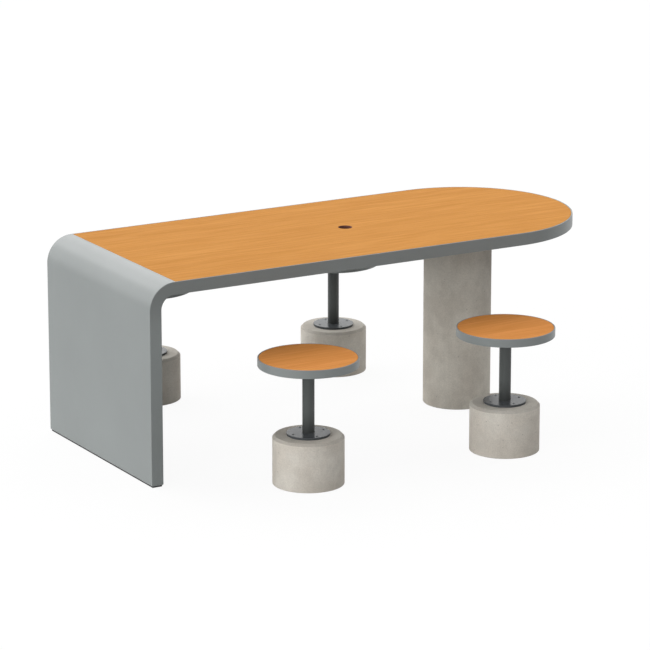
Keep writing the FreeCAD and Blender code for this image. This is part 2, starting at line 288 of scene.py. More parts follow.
class SurfaceEffects:
    """Shader node groups that several finishes share, each built once."""

    def __init__(self) -> None:
        """Build the groups."""
        self.tone_drift = self._tone_drift()
        self.height_tone = self._height_tone()
        self.fine_relief = self._fine_relief()
        self.streaky_grain = self._streaky_grain()
        self.air_holes = self._air_holes()
        self.top_and_arris_darkening = self._top_and_arris_darkening()

    @staticmethod
    def _tone_drift() -> Tree:
        """Build a slow change of tone, around 1, that keeps large surfaces from looking flat.

        Returns:
            The group.
        """
        detail = 5.0
        inputs = {"Vector": Pin.VECTOR, "Patches per Metre": 4.0, "Contrast": 0.05}
        sheet = GroupSheet("tone drift", TreeKind.SHADER, inputs, ["Tone"])
        place, patches, contrast = sheet.given
        clouds = sheet.clouds(place, patches, detail)
        tones = [sheet.math(operation, 1.0, contrast) for operation in ("SUBTRACT", "ADD")]
        return sheet.give(sheet.between(clouds, NOISE_RANGE, tones))

    @staticmethod
    def _height_tone() -> Tree:
        """Build a tone that changes smoothly from one height to another, and is even above and below.

        Returns:
            The group.
        """
        levels = {"Low Level": 0.0, "High Level": 1.0}
        inputs = {"Vector": Pin.VECTOR, **levels, "Low Tone": 1.0, "High Tone": 1.0}
        sheet = GroupSheet("height tone", TreeKind.SHADER, inputs, ["Tone"])
        place, *ends = sheet.given
        return sheet.give(sheet.between(sheet.part(place, "Z"), ends[:2], ends[2:]))

    @staticmethod
    def _fine_relief() -> Tree:
        """Build a small even relief, such as the peel of a coat or the tooth of cast concrete.

        Returns:
            The group.
        """
        inputs = {"Vector": Pin.VECTOR, "Grains per Metre": 600.0, "Sharpness": 2.0}
        sheet = GroupSheet("fine relief", TreeKind.SHADER, inputs, ["Height"])
        return sheet.give(sheet.clouds(*sheet.given, roughness=0.6))

    @staticmethod
    def _streaky_grain() -> Tree:
        """Build streaks along X: broad bands, fine streaks and short dark pores.

        Returns:
            The group.
        """
        layers = (
            GrainLayer("Bands", 0.55, 0.22, 3.0),
            GrainLayer("Streaks", 1.0, 1.0, 4.0),
            GrainLayer("Pores", 9.0, 5.0, 1.0),
        )
        wander_per_metre = 2.2
        wander_widths = 5.0
        inputs = {"Vector": Pin.VECTOR, "Streak Length": 0.4, "Streak Width": 0.01}
        sheet = GroupSheet("streaky grain", TreeKind.SHADER, inputs, [layer.name for layer in layers])
        place, length, width = sheet.given
        sizes = zip("XYZ", (length, width, width))
        along, across, depth = [sheet.math("DIVIDE", sheet.part(place, axis), size) for axis, size in sizes]
        wander = sheet.times(sheet.clouds(place, wander_per_metre, 1.0), wander_widths)
        across = sheet.math("ADD", across, wander)
        grains = []
        for layer in layers:
            scaled = {"X": (along, layer.along), "Y": (across, layer.across), "Z": (depth, layer.across)}
            values = {axis: sheet.times(*factors) for axis, factors in scaled.items()}
            spot = sheet.take("ShaderNodeCombineXYZ", values)
            grains.append(sheet.clouds(spot, 1.0, layer.detail, roughness=0.55))
        return sheet.give(*grains)

    @staticmethod
    def _air_holes() -> Tree:
        """Build scattered round pits, 1 in a pit and 0 outside, as air leaves them in a mould.

        Returns:
            The group.
        """
        rarity = 5.0
        smallest = 0.001
        rim = (0.7, 1.1)
        inputs = {"Vector": Pin.VECTOR, "Cells per Metre": 90.0, "Largest Share": 0.3}
        sheet = GroupSheet("air holes", TreeKind.SHADER, inputs, ["Pit"])
        place, scale, largest = sheet.given
        cells = sheet.add("ShaderNodeTexVoronoi", {"Vector": place, "Scale": scale}).outputs
        lot = sheet.take("ShaderNodeSeparateColor", {"Color": cells["Color"]})
        radius = sheet.times(sheet.math("POWER", lot, rarity), largest)
        ratio = sheet.math("DIVIDE", cells["Distance"], sheet.math("MAXIMUM", radius, smallest))
        return sheet.give(sheet.between(ratio, rim, (1.0, 0.0)))

    @staticmethod
    def _top_and_arris_darkening() -> Tree:
        """Build a tone that darkens level tops and the slopes of arrises.

        Returns:
            The group.
        """
        near_level = (0.3, 0.95)
        slope_start = (0.25, 0.6)
        slope_end = (0.8, 0.97)
        inputs = {"Normal": Pin.VECTOR, "Top Darkening": 0.1, "Arris Darkening": 0.1}
        sheet = GroupSheet("settled dirt", TreeKind.SHADER, inputs, ["Tone"])
        normal, top_darkening, arris_darkening = sheet.given
        rise = sheet.part(normal, "Z")
        top = sheet.between(rise, near_level, (0.0, top_darkening))
        slope = sheet.between(rise, slope_start, (0.0, arris_darkening))
        slope = sheet.times(slope, sheet.between(rise, slope_end, (1.0, 0.0)))
        return sheet.give(sheet.times(*(sheet.math("SUBTRACT", 1.0, darkening) for darkening in (top, slope))))


class MaterialSheet(Sheet):
    """A material's tree, with its coordinates, its shader and the shared effects."""

    def __init__(self, material: Material, effects: SurfaceEffects) -> None:
        """Add the coordinates, the shader and the output.

        Args:
            material: The new material.
            effects: The shared shader groups.
        """
        material.use_nodes = True
        super().__init__(material.node_tree)
        self.tree.nodes.clear()
        self.effects = effects
        self.place = self.add("ShaderNodeTexCoord").outputs["Object"]
        self.shader = self.add("ShaderNodeBsdfPrincipled")
        self.add("ShaderNodeOutputMaterial", {"Surface": self.shader.outputs["BSDF"]})

    def shade(self, values: dict[str, object]) -> None:
        """Set or link the shader's inputs, by their names."""
        for name, value in values.items():
            self.put(value, self.shader.inputs[name])

    def colour(self, ground: object, tone: Socket) -> None:
        """Colour the surface.

        Args:
            ground: A colour with alpha, or a socket.
            tone: What the colour is multiplied by.
        """
        grey = self.take("ShaderNodeCombineColor", {"Red": tone, "Green": tone, "Blue": tone})
        self.shade({"Base Color": self.blend(1.0, ground, grey, mode="MULTIPLY")})

    def effect(self, tree: Tree, values: dict[str, object]) -> bpy.types.NodeOutputs:
        """Place a shared effect and return its outputs."""
        return self.add("ShaderNodeGroup", values, node_tree=tree).outputs

    def drift(self, drift: Drift, place: Socket | None = None) -> Socket:
        """Place a slow change of tone.

        Args:
            drift: Its sizes.
            place: The coordinates, or None for the object's own.

        Returns:
            The tone's socket.
        """
        values = {"Patches per Metre": drift.patches, "Contrast": drift.contrast}
        values["Vector"] = self.place if place is None else place
        return self.effect(self.effects.tone_drift, values)["Tone"]

    def by_height(self, levels: Point, tones: Point) -> Socket:
        """Place a tone that changes with height.

        Args:
            levels: The heights between which it changes.
            tones: The tones at those heights.

        Returns:
            The tone's socket.
        """
        names = ("Vector", "Low Level", "High Level", "Low Tone", "High Tone")
        values = dict(zip(names, (self.place, *levels, *tones)))
        return self.effect(self.effects.height_tone, values)["Tone"]

    def relief(self, relief: Relief) -> Socket:
        """Place a fine relief and return its height."""
        values = {"Vector": self.place, "Grains per Metre": relief.grains, "Sharpness": relief.sharpness}
        return self.effect(self.effects.fine_relief, values)["Height"]

    def bump(self, height: Socket, depth: float, strength: float = 1.0) -> None:
        """Raise the surface by a height.

        Args:
            height: The height's socket.
            depth: The depth of a height of 1.
            strength: How much of it shows.
        """
        values = {"Height": height, "Distance": depth, "Strength": strength}
        self.shade({"Normal": self.take("ShaderNodeBump", values)})

    def facing(self) -> Socket:
        """Return the direction that the surface faces."""
        return self.add("ShaderNodeNewGeometry").outputs["Normal"]


def opaque(colour: Colour) -> tuple[float, float, float, float]:
    """Return a colour with full alpha."""
    return (*colour, 1.0)


@dataclass(frozen=True)
class Finish:
    """A surface finish, which paints a material."""

    name: str

    def material(self, effects: SurfaceEffects) -> Material:
        """Build the finish's material.

        Args:
            effects: The shared shader groups.

        Returns:
            The new material.
        """
        material = bpy.data.materials.new(self.name)
        self.paint(MaterialSheet(material, effects))
        return material

    def paint(self, sheet: MaterialSheet) -> None:
        """Set and link the shader's inputs."""
        raise NotImplementedError


@dataclass(frozen=True)
class EvenFinish(Finish):
    """One colour that drifts a little, with an even relief and, where haze is given, a cloudy sheen."""

    colour: Colour
    roughness: float
    drift: Drift
    relief: Relief
    haze: Drift | None = None

    def tone(self, sheet: MaterialSheet) -> Socket:
        """Return what the colour is multiplied by."""
        return sheet.drift(self.drift)

    def paint(self, sheet: MaterialSheet) -> None:
        """Give the surface its colour, its roughness and its relief.

        Args:
            sheet: The material's sheet.
        """
        sheet.colour(opaque(self.colour), self.tone(sheet))
        rough = sheet.times(sheet.drift(self.haze), self.roughness) if self.haze else self.roughness
        sheet.shade({"Roughness": rough})
        sheet.bump(sheet.relief(self.relief), self.relief.depth, self.relief.strength)


@dataclass(frozen=True)
class CoatFinish(EvenFinish):
    """Satin powder coat on metal with a fine peel, whose tone may change at its foot and down its sides:
    painted light and shade.
    """

    drift: Drift = Drift(3.0, 0.03)
    relief: Relief = Relief(350.0, 1.0, 0.00002)
    haze: Drift | None = Drift(14.0, 0.03)
    specular: float = 0.45
    # Tone at the foot: above 1 it paints light there, below 1 it paints shade.
    painted_foot_light_and_shade: float = 1.0
    foot_levels: Point = (0.0, 0.35)
    # Tones at the two side levels on faces that look to the front or back: painted light and shade.
    painted_side_light_and_shade: Point = (1.0, 1.0)
    side_levels: Point = (0.55, 0.68)
    sideways: Point = (0.9, 0.99)
    bloom: float = 0.0
    bloom_roughness: float = 0.25

    def tone(self, sheet: MaterialSheet) -> Socket:
        """Let the colour drift, and paint light and shade on it near the foot and on the sides that face
        front and back.

        Args:
            sheet: The material's sheet.

        Returns:
            What the colour is multiplied by.
        """
        tone = sheet.drift(self.drift)
        # Painted light and shade near the foot, changing with height.
        if self.painted_foot_light_and_shade != 1.0:
            tone = sheet.times(tone, sheet.by_height(self.foot_levels, (self.painted_foot_light_and_shade, 1.0)))
        # Painted light and shade on faces that look to the front or back, changing with height.
        if self.painted_side_light_and_shade != (1.0, 1.0):
            side = sheet.by_height(self.side_levels, self.painted_side_light_and_shade)
            turned = sheet.math("ABSOLUTE", sheet.part(sheet.facing(), "Y"))
            tone = sheet.times(tone, sheet.between(turned, self.sideways, (1.0, side)))
        return tone

    def paint(self, sheet: MaterialSheet) -> None:
        """Give the coat its sheen, and its bloom at grazing angles.

        Args:
            sheet: The material's sheet.
        """
        super().paint(sheet)
        bloom = {"Sheen Weight": self.bloom, "Sheen Roughness": self.bloom_roughness}
        sheet.shade({"Specular IOR Level": self.specular, **bloom})


@dataclass(frozen=True)
class SteelFinish(EvenFinish):
    """Bare or zinc-coated steel with a satin, slightly cloudy sheen and fine scratches."""

    drift: Drift = Drift(40.0, 0.07)
    relief: Relief = Relief(700.0, 3.0, 0.00003)
    haze: Drift | None = Drift(120.0, 0.12)

    def paint(self, sheet: MaterialSheet) -> None:
        """Make the surface metal."""
        super().paint(sheet)
        sheet.shade({"Metallic": 1.0})


@dataclass(frozen=True)
class DullFinish(EvenFinish):
    """Matt surface of one tone: rubber, a board's core, or its toasted edge."""

    roughness: float = 0.8
    drift: Drift = Drift(60.0, 0.12)
    relief: Relief = Relief(500.0, 2.0, 0.0001)


@dataclass(frozen=True)
class BoardFinish(Finish):
    """Orange-brown wood-look face with streaks along X."""

    light: Colour
    middle: Colour
    dark: Colour
    streak_length: float = 0.22
    streak_width: float = 0.007
    band_range: Point = (0.32, 0.68)
    pore_range: Point = (0.62, 0.74)
    streak_share: float = 0.45
    pore_share: float = 0.22
    roughness: float = 0.7
    streak_roughness: float = 0.78
    specular: float = 0.1
    pore_drop: float = 0.7
    pore_depth: float = 0.00006

    def paint(self, sheet: MaterialSheet) -> None:
        """Lay broad bands, fine streaks and short pores over each other.

        Args:
            sheet: The material's sheet.
        """
        sizes = {"Streak Length": self.streak_length, "Streak Width": self.streak_width}
        grain = sheet.effect(sheet.effects.streaky_grain, {"Vector": sheet.place, **sizes})
        bands = sheet.between(grain["Bands"], self.band_range, (0.0, 1.0))
        streaks = sheet.between(grain["Streaks"], NOISE_RANGE, (0.0, 1.0))
        pores = sheet.between(grain["Pores"], self.pore_range, (0.0, 1.0))
        dark = opaque(self.dark)
        ground = sheet.blend(bands, opaque(self.light), opaque(self.middle))
        streaked = sheet.blend(sheet.times(streaks, self.streak_share), ground, dark)
        colour = sheet.blend(sheet.times(pores, self.pore_share), streaked, dark, mode="MULTIPLY")
        rough = sheet.between(streaks, (0.0, 1.0), (self.roughness, self.streak_roughness))
        sheet.shade({"Base Color": colour, "Roughness": rough, "Specular IOR Level": self.specular})
        sheet.bump(sheet.math("SUBTRACT", 1.0, sheet.times(pores, self.pore_drop)), self.pore_depth)


@dataclass(frozen=True)
class ConcreteFinish(Finish):
    """Smooth cast concrete with cloudy patches, upright streaks, fine tooth and a few air holes."""

    pale: Colour
    dull: Colour
    roughness: float = 0.85
    specular: float = 0.3
    clouds: Drift = Drift(9.0, 0.5)
    mottle: Drift = Drift(28.0, 0.04)
    specks: Drift = Drift(230.0, 0.065)
    streaks: Drift = Drift(90.0, 0.012)
    streak_stretch: tuple[float, float, float] = (1.0, 1.0, 0.12)
    top_darkening: float = 0.13
    arris_darkening: float = 0.15
    head_shade: float = 0.0
    head_levels: Point = (0.3, 0.6)
    pits_per_metre: float = 75.0
    pit_share: float = 0.24
    pit_shade: float = 0.25
    tooth: Relief = Relief(260.0, 6.0, 0.0006, strength=0.6)
    tooth_share: float = 0.35

    def paint(self, sheet: MaterialSheet) -> None:
        """Mix two greys in clouds, speckle them and pit the surface.

        Args:
            sheet: The material's sheet.
        """
        reach = self.clouds.contrast
        share = sheet.between(sheet.drift(self.clouds), (1.0 - reach, 1.0 + reach), (0.0, 1.0))
        upright = {0: sheet.place, 1: self.streak_stretch}
        stretched = sheet.take("ShaderNodeVectorMath", upright, operation="MULTIPLY")
        tones = [sheet.drift(self.mottle), sheet.drift(self.specks), sheet.drift(self.streaks, stretched)]
        # Darker on level tops and on the slopes of arrises.
        darkening = {"Normal": sheet.facing(), "Top Darkening": self.top_darkening, "Arris Darkening": self.arris_darkening}
        tones.append(sheet.effect(sheet.effects.top_and_arris_darkening, darkening)["Tone"])
        if self.head_shade > 0.0:
            tones.append(sheet.by_height(self.head_levels, (1.0, 1.0 - self.head_shade)))
        cells = {"Cells per Metre": self.pits_per_metre, "Largest Share": self.pit_share}
        pit = sheet.effect(sheet.effects.air_holes, {"Vector": sheet.place, **cells})["Pit"]
        tones.append(sheet.math("SUBTRACT", 1.0, sheet.times(pit, self.pit_shade)))
        sheet.colour(sheet.blend(share, opaque(self.pale), opaque(self.dull)), sheet.times(*tones))
        sheet.shade({"Roughness": self.roughness, "Specular IOR Level": self.specular})
        height = sheet.math("SUBTRACT", sheet.times(sheet.relief(self.tooth), self.tooth_share), pit)
        sheet.bump(height, self.tooth.depth, self.tooth.strength)


class Finishes:
    """The set's finishes, as materials."""

    def __init__(self) -> None:
        """Build the shared effects, and a material for each finish."""
        effects = SurfaceEffects()
        self.casing = CoatFinish(
            "grey satin coat",
            (0.199, 0.2162, 0.2137),
            roughness=0.38,
            bloom=0.25,
            # Paler near the floor: painted light.
            painted_foot_light_and_shade=1.08,
            # Painted light low on the front and back faces, and painted shade on the slab's edge.
            painted_side_light_and_shade=(1.09, 0.86),
        ).material(effects)
        # A lighter copy of the casing's coat: painted light on the seat rims.
        self.seat_rim = CoatFinish(
            "seat rim coat painted lighter", (0.213, 0.2313, 0.2287), roughness=0.38, bloom=0.25
        ).material(effects)
        self.post = CoatFinish(
            "dark post coat",
            (0.079, 0.086, 0.084),
            roughness=0.45,
            specular=0.3,
            # Darker just above the flange: painted shade.
            painted_foot_light_and_shade=0.52,
            foot_levels=(0.185, 0.27),
        ).material(effects)
        self.flange = CoatFinish(
            "dark flange coat", (0.072, 0.078, 0.083), roughness=0.26, specular=0.155, drift=Drift(3.0, 0.1)
        ).material(effects)
        self.board = BoardFinish(
            "orange-brown board",
            light=(0.609, 0.272, 0.054),
            middle=(0.559, 0.242, 0.044),
            dark=(0.41, 0.157, 0.023),
        ).material(effects)
        # A lighter, redder copy of the board's colours: painted light on the seats, which stand partly in
        # the table's shade.
        self.seat_board = BoardFinish(
            "seat board painted lighter",
            light=(0.726, 0.3, 0.078),
            middle=(0.672, 0.267, 0.063),
            dark=(0.515, 0.186, 0.036),
        ).material(effects)
        self.board_edge = DullFinish("toasted board edge", (0.47, 0.16, 0.022), 0.6).material(effects)
        self.core = DullFinish("dark board core", (0.15, 0.058, 0.044)).material(effects)
        self.rubber = DullFinish("black foot rubber", (0.025, 0.025, 0.026)).material(effects)
        self.column = ConcreteFinish(
            "column concrete", pale=(0.612, 0.574, 0.507), dull=(0.521, 0.48, 0.419), head_shade=0.2
        ).material(effects)
        self.base = ConcreteFinish(
            "base concrete", pale=(0.646, 0.611, 0.549), dull=(0.6, 0.555, 0.491)
        ).material(effects)
        self.bolt = SteelFinish("zinc bolts", (0.5, 0.5, 0.49), 0.32).material(effects)
        self.inner = SteelFinish("galvanised inner steel", (0.42, 0.43, 0.44), 0.5).material(effects)


class NodeBox:
    """Box of a CAD node at rest."""

    def __init__(self, node: str) -> None:
        """Read the box, and work out its centre and half sizes.

        Args:
            node: The node's name.
        """
        self.low, self.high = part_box(node)
        self.centre = (self.low + self.high) / 2
        self.half = (self.high - self.low) / 2

    def at(self, z: float) -> Vector:
        """Return the point of the box's upright middle line at a height."""
        return Vector((self.centre.x, self.centre.y, z))

    def corners(self) -> list[Point]:
        """Return the corners of the box's plan, from the front left round by the front right."""
        low, high = self.low, self.high
        return [(low.x, low.y), (high.x, low.y), (high.x, high.y), (low.x, high.y)]


def plain_mesh(piece: Object) -> None:
    """Turn a piece's evaluated shape into its plain mesh, without modifiers.

    Args:
        piece: The object, with its modifiers set.
    """
    graph = bpy.context.evaluated_depsgraph_get()
    mesh = bpy.data.meshes.new_from_object(piece.evaluated_get(graph))
    mesh.name = piece.name
    piece.modifiers.clear()
    piece.data = mesh


def mesh_from(name: str, build: Build) -> Object:
    """Make an object from a function that fills a bmesh.

    Args:
        name: The object's name.
        build: The function that adds the vertices and faces.

    Returns:
        The object, at the origin, with its faces pointing outwards.
    """
    bm = bmesh.new()
    build(bm)
    bmesh.ops.recalc_face_normals(bm, faces=bm.faces[:])
    mesh = bpy.data.meshes.new(name)
    bm.to_mesh(mesh)
    bm.free()
    piece = bpy.data.objects.new(name, mesh)
    bpy.context.scene.collection.objects.link(piece)
    return piece


def smoothed(piece: Object, arris: float = 0.0, finish: int = -1) -> Object:
    """Round a piece's sharp edges and shade it smoothly, with its flats kept flat.

    Args:
        piece: The object.
        arris: Width of the rounding, or 0 for none.
        finish: Index of the rounding's own material, or -1 for its neighbours'.

    Returns:
        The same object, with a plain mesh.
    """
    for polygon in piece.data.polygons:
        polygon.use_smooth = True
    if arris > 0:
        bevel = piece.modifiers.new("arris", "BEVEL")
        bevel.width = arris
        bevel.segments = ARRIS_FACES
        bevel.limit_method = "ANGLE"
        bevel.angle_limit = ARRIS_ANGLE
        bevel.use_clamp_overlap = False
        bevel.material = finish
    piece.modifiers.new("flats", "WEIGHTED_NORMAL").keep_sharp = True
    plain_mesh(piece)
    return piece


def fitted(
    piece: Object, nodes: Sequence[str] = (), materials: Sequence[Material] = ()
) -> None:
    """Dress a finished piece and fix it to the part.

    Args:
        piece: The object.
        nodes: The CAD nodes that it stands for.
        materials: Its materials, in the order of its faces' indices, where it has none yet.
    """
    for material in materials:
        piece.data.materials.append(material)
    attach(piece, BODY)
    if nodes:
        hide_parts(*nodes)
    faces = len(piece.data.polygons)
    log.info("%s: %d faces, stands for %s", piece.name, faces, ", ".join(nodes) or "itself")


def repaint(node: str, material: Material) -> None:
    """Give a CAD node that stays in view its finish.

    Args:
        node: The node's name.
        material: The finish's material.
    """
    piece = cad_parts[node]
    piece.data.materials.clear()
    piece.data.materials.append(material)
    log.info("%s: kept, in %s", node, material.name)


@dataclass(frozen=True)
class Corner:
    """A corner of an outline, with the radius that rounds it."""

    x: float
    z: float
    rounding: float = 0.0


def rounded_outline(corners: Sequence[Corner], steps: int = 6) -> list[Point]:
    """Replace each rounded corner by an arc.

    Args:
        corners: The outline's corners, in order. The first and last stay sharp.
        steps: Straight runs in each arc.

    Returns:
        The outline's points.
    """
    points: list[Point] = [(corners[0].x, corners[0].z)]
    for before, here, after in zip(corners, corners[1:], corners[2:]):
        if here.rounding == 0:
            points.append((here.x, here.z))
            continue
        place = Vector((here.x, here.z))
        back = (Vector((before.x, before.z)) - place).normalized()
        ahead = (Vector((after.x, after.z)) - place).normalized()
        half = back.angle(ahead) / 2
        centre = place + (back + ahead).normalized() * here.rounding / math.sin(half)
        first = place + back * here.rounding / math.tan(half) - centre
        last = place + ahead * here.rounding / math.tan(half) - centre
        turn = first.angle_signed(last)
        for step in range(steps + 1):
            sine, cosine = math.sin(-turn * step / steps), math.cos(-turn * step / steps)
            spoke = Vector((first.x * cosine - first.y * sine, first.x * sine + first.y * cosine))
            points.append(tuple(centre + spoke))
    points.append((corners[-1].x, corners[-1].z))
    return points


def divided(points: Sequence[Point], longest: float) -> list[Point]:
    """Divide an outline's long straight runs.

    Args:
        points: The outline's points.
        longest: The longest run that is left whole.

    Returns:
        The outline with the added points.
    """
    result = [points[0]]
    for start, end in zip(points, points[1:]):
        pieces = max(1, math.ceil(math.dist(start, end) / longest))
        for piece in range(1, pieces + 1):
            share = piece / pieces
            result.append((start[0] + (end[0] - start[0]) * share, start[1] + (end[1] - start[1]) * share))
    return result


def circle_points(centre: Vector, radius: float, count: int) -> list[Point]:
    """Return points round a circle, the first on +X."""
    angles = [2 * math.pi * step / count for step in range(count)]
    return [(centre.x + radius * math.cos(angle), centre.y + radius * math.sin(angle)) for angle in angles]


def hexagon_points(centre: Vector, radius: float, count: int) -> list[Point]:
    """Return points round a hexagon, the first at its corner on +X.

    Args:
        centre: The hexagon's centre.
        radius: The distance of its corners from the centre.
        count: How many points, a multiple of six.

    Returns:
        The points, at even angles.
    """
    points = []
    for x, y in circle_points(Vector(), 1.0, count):
        off_flat = math.atan2(y, x) % (math.pi / 3) - math.pi / 6
        reach = radius * math.cos(math.pi / 6) / math.cos(off_flat)
        points.append((centre.x + reach * x, centre.y + reach * y))
    return points


def loop_of(bm: BMesh, points: Sequence[Point], z: float) -> Loop:
    """Add one level loop of vertices."""
    return [bm.verts.new((x, y, z)) for x, y in points]


def wall(bm: BMesh, low: Loop, high: Loop) -> None:
    """Add faces between two closed loops.

    Args:
        bm: The mesh.
        low: One loop.
        high: The other, with as many vertices. Either may be one vertex, at which the faces meet.
    """
    count = max(len(low), len(high))
    for step in range(count):
        after = (step + 1) % count
        foot, head = ((loop[step % len(loop)], loop[after % len(loop)]) for loop in (low, high))
        bm.faces.new(tuple(dict.fromkeys((*foot, *reversed(head)))))


def holed_face(bm: BMesh, outer: Loop, hole: Loop) -> None:
    """Close a slab's plan around a round hole, as a front and a back half.

    Args:
        bm: The mesh.
        outer: Front corner, the round end from front to back, back corner, middle of the start edge.
        hole: The hole's loop, from +X on.
    """
    tip = (len(outer) - 1) // 2
    opposite = len(hole) // 2
    bm.faces.new([outer[-1], *outer[: tip + 1], hole[0], *reversed(hole[opposite:])])
    bm.faces.new([*outer[tip:], *reversed(hole[: opposite + 1])])


@dataclass(frozen=True)
class Turning:
    """A solid turned round an upright axis, some of whose rings may be hexagons."""

    centre: Vector
    outline: Sequence[Point]
    segments: int = 128
    hexagons: tuple[int, ...] = ()

    def build(self, bm: BMesh) -> None:
        """Add the solid's rings, and close it at the axis at both ends.

        Args:
            bm: The mesh.
        """
        rings = []
        for index, (radius, height) in enumerate(self.outline):
            ring_points = hexagon_points if index in self.hexagons else circle_points
            count = self.segments if radius > 0 else 1
            rings.append(loop_of(bm, ring_points(self.centre, radius, count), height))
        for low, high in zip(rings, rings[1:]):
            wall(bm, low, high)

    def piece(self, name: str, arris: float = 0.0, finish: int = -1) -> Object:
        """Return the turned solid as an object, rounded and smoothed."""
        return smoothed(mesh_from(name, self.build), arris, finish)


@dataclass(frozen=True)
class SlabPlan:
    """Plan of the slab or of something let into it: straight sides and a half-round end."""

    start_x: float
    half_width: float
    end_centre_x: float
    steps: int = 96

    def round_end(self) -> list[Point]:
        """Return the half-round end's points, from the front to the back.

        Returns:
            The points.
        """
        points = []
        for step in range(self.steps + 1):
            angle = math.pi * (step / self.steps - 0.5)
            x = self.end_centre_x + self.half_width * math.cos(angle)
            points.append((x, self.half_width * math.sin(angle)))
        return points


def flat_plate(name: str, box: NodeBox, edge: Sequence[Point], arris: float = 0.0008) -> Object:
    """Make a flat plate with softened edges.

    Args:
        name: The object's name.
        box: The box whose height it fills.
        edge: Its plan.
        arris: Width of its edges' rounding.

    Returns:
        The object.
    """

    def build(bm: BMesh) -> None:
        """Add the plate's edge and its two faces.

        Args:
            bm: The mesh.
        """
        faces = [loop_of(bm, edge, z) for z in (box.low.z, box.high.z)]
        wall(bm, *faces)
        for face in faces:
            bm.faces.new(face)

    return smoothed(mesh_from(name, build), arris)


def round_plate(name: str, box: NodeBox, radius: float, arrises: Point) -> Object:
    """Make a round plate with rounded arrises.

    Args:
        name: The object's name.
        box: The box whose height it fills.
        radius: Its radius.
        arrises: Radii of its lower and its upper arris.

    Returns:
        The object.
    """
    low, high = box.low.z, box.high.z
    sides = [Corner(radius, z, arris) for z, arris in zip((low, high), arrises)]
    return Turning(box.centre, rounded_outline([Corner(0, low), *sides, Corner(0, high)])).piece(name)


@dataclass(frozen=True)
class DomedHead:
    """A screw's domed head with a hexagon socket in its top. It stands on Z = 0 and points up."""

    radius: float
    height: float
    key_radius: float
    key_depth: float = 0.0012
    key_margin: float = 1.06
    dome_steps: int = 10
    segments: int = 36

    def build(self, bm: BMesh) -> None:
        """Add the foot, the dome and the socket.

        Args:
            bm: The mesh.
        """
        rise = math.acos(self.key_margin * self.key_radius / self.radius)
        outline = [(0.0, 0.0)]
        for step in range(self.dome_steps + 1):
            angle = rise * step / self.dome_steps
            outline.append((self.radius * math.cos(angle), self.height * math.sin(angle)))
        mouth = outline[-1][1]
        floor = self.height - self.key_depth
        first = len(outline)
        outline += [(self.key_radius, mouth), (self.key_radius, floor), (0.0, floor)]
        Turning(Vector(), outline, self.segments, (first, first + 1)).build(bm)


@dataclass(frozen=True)
class HexagonHead:
    """A hexagon head with turned corners, on its washer. It stands on Z = 0 and points up."""

    radius: float
    height: float
    washer_radius: float
    washer_height: float = 0.0016
    turned_share: float = 0.2
    top_share: float = 0.86
    segments: int = 36

    def build(self, bm: BMesh) -> None:
        """Add the washer and the head.

        Args:
            bm: The mesh.
        """
        top = self.washer_height + self.height
        outline = [
            (0.0, 0.0),
            (self.washer_radius, 0.0),
            (self.washer_radius, self.washer_height),
            (self.radius, self.washer_height),
            (self.radius, top - self.turned_share * self.height),
            (self.top_share * self.radius, top),
            (0.0, top),
        ]
        Turning(Vector(), outline, self.segments, (3, 4)).build(bm)


@dataclass(frozen=True)
class HeadRing:
    """A ring of four like fastener heads, which may point down."""

    head: DomedHead | HexagonHead
    radius: float
    first_angle: float = 0.0
    flip: tuple[float, float, float] = (0.0, 0.0, 0.0)
    count: int = 4


